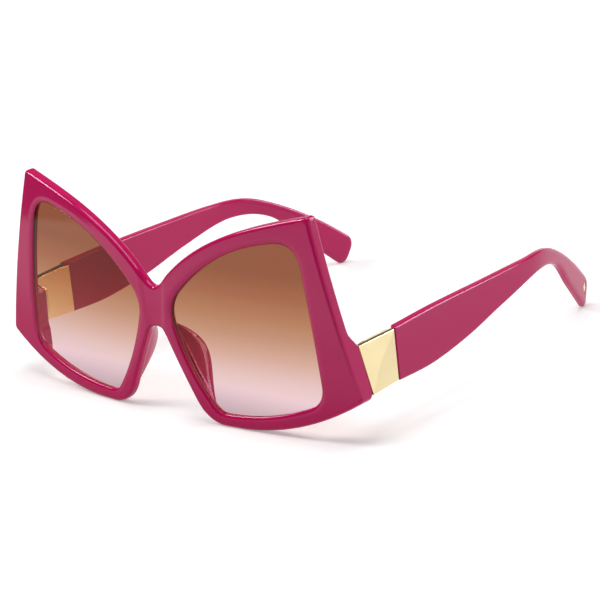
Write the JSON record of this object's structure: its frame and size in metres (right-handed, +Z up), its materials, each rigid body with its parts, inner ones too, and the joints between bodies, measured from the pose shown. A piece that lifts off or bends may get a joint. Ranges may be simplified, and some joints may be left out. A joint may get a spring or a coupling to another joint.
{
  "type": "cat-eye sunglasses",
  "caption": "Oversized cat-eye sunglasses with pointed rims, gradient lenses, pyramid hinge blocks and wide tapering temples that fold on barrel hinges.",
  "frame": {"origin": "middle of the open glasses' bounding box, on the surface that the rims and the temple tips rest on", "axes": "+X towards the wearer's left, -Y the way the wearer looks, +Z up"},
  "size_m": [0.152, 0.1434, 0.0689],
  "materials": {
    "frame_plastic": "polished magenta plastic",
    "lens_tint": "polished, brown at the top fading to pink at the bottom",
    "gold_metal": "polished pale gold plating",
    "hinge_steel": "satin pale gold plating"
  },
  "bodies": {
    "front": {"front_frame": "frame_plastic", "lens_left": "lens_tint", "lens_right": "lens_tint", "nose_pad_left": "frame_plastic", "nose_pad_right": "frame_plastic", "front_hinge_left": "hinge_steel", "front_hinge_right": "hinge_steel", "leaf_screws": "hinge_steel", "hinge_screw_left": "hinge_steel", "hinge_screw_right": "hinge_steel"},
    "left_arm": {"hinge_block_left": "gold_metal", "temple_hinge_left": "hinge_steel", "core_wire_left": "hinge_steel", "temple_left": "frame_plastic", "tip_inlay_left": "gold_metal"},
    "right_arm": {"hinge_block_right": "gold_metal", "temple_hinge_right": "hinge_steel", "core_wire_right": "hinge_steel", "temple_right": "frame_plastic", "tip_inlay_right": "gold_metal"}
  },
  "joints": [
    {"name": "left_fold", "type": "hinge", "parent": "front", "child": "left_arm", "pos_m": [0.06792, -0.05604, 0.0224], "axis": [0, 0, 1], "range_deg": [0, 84]},
    {"name": "right_fold", "type": "hinge", "parent": "front", "child": "right_arm", "pos_m": [-0.06792, -0.05604, 0.0224], "axis": [0, 0, -1], "range_deg": [0, 79]}
  ]
}
